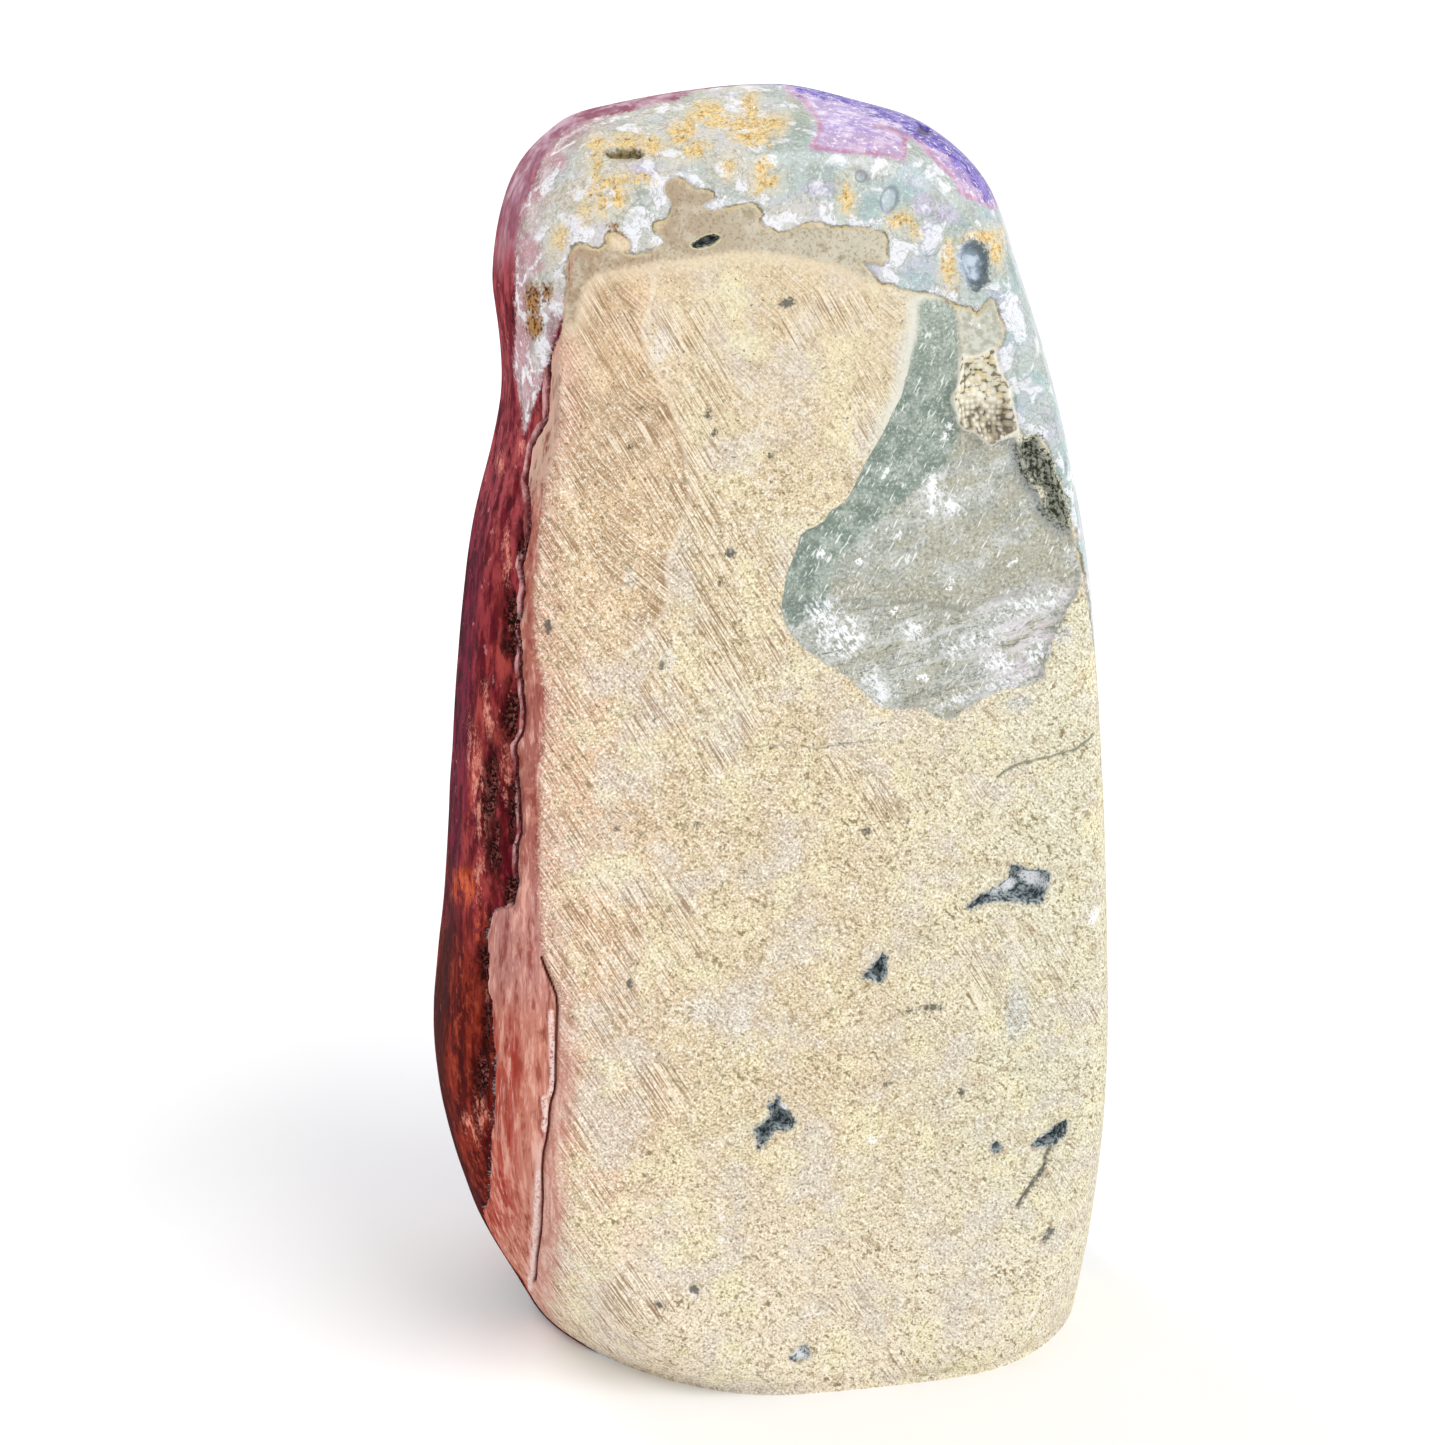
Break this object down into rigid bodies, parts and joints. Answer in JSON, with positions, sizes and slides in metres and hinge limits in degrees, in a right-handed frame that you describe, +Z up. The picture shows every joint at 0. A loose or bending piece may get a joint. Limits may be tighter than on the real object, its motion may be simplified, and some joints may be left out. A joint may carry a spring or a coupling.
{
  "type": "amethyst geode",
  "caption": "Free-standing piece of an amethyst geode's wall: cut flat at the base, ground flat across the matrix, polished round the sides, with a hollow of amethyst points in front.",
  "frame": {"origin": "middle of the bounding box at the height of the cut base", "axes": "+Z up, from the cut base to the top; -Y out of the ground matrix face; +Y out of the hollow with the amethyst points; +X to the right when looking at the ground face"},
  "size_m": [0.1427, 0.0891, 0.26],
  "materials": {
    "matrix": "ground matte on the flat back, polished round the sides and top",
    "amethyst": "natural crystal faces, clear and glossy"
  },
  "bodies": {
    "root": {"amethyst_geode": "matrix"}
  },
  "joints": []
}
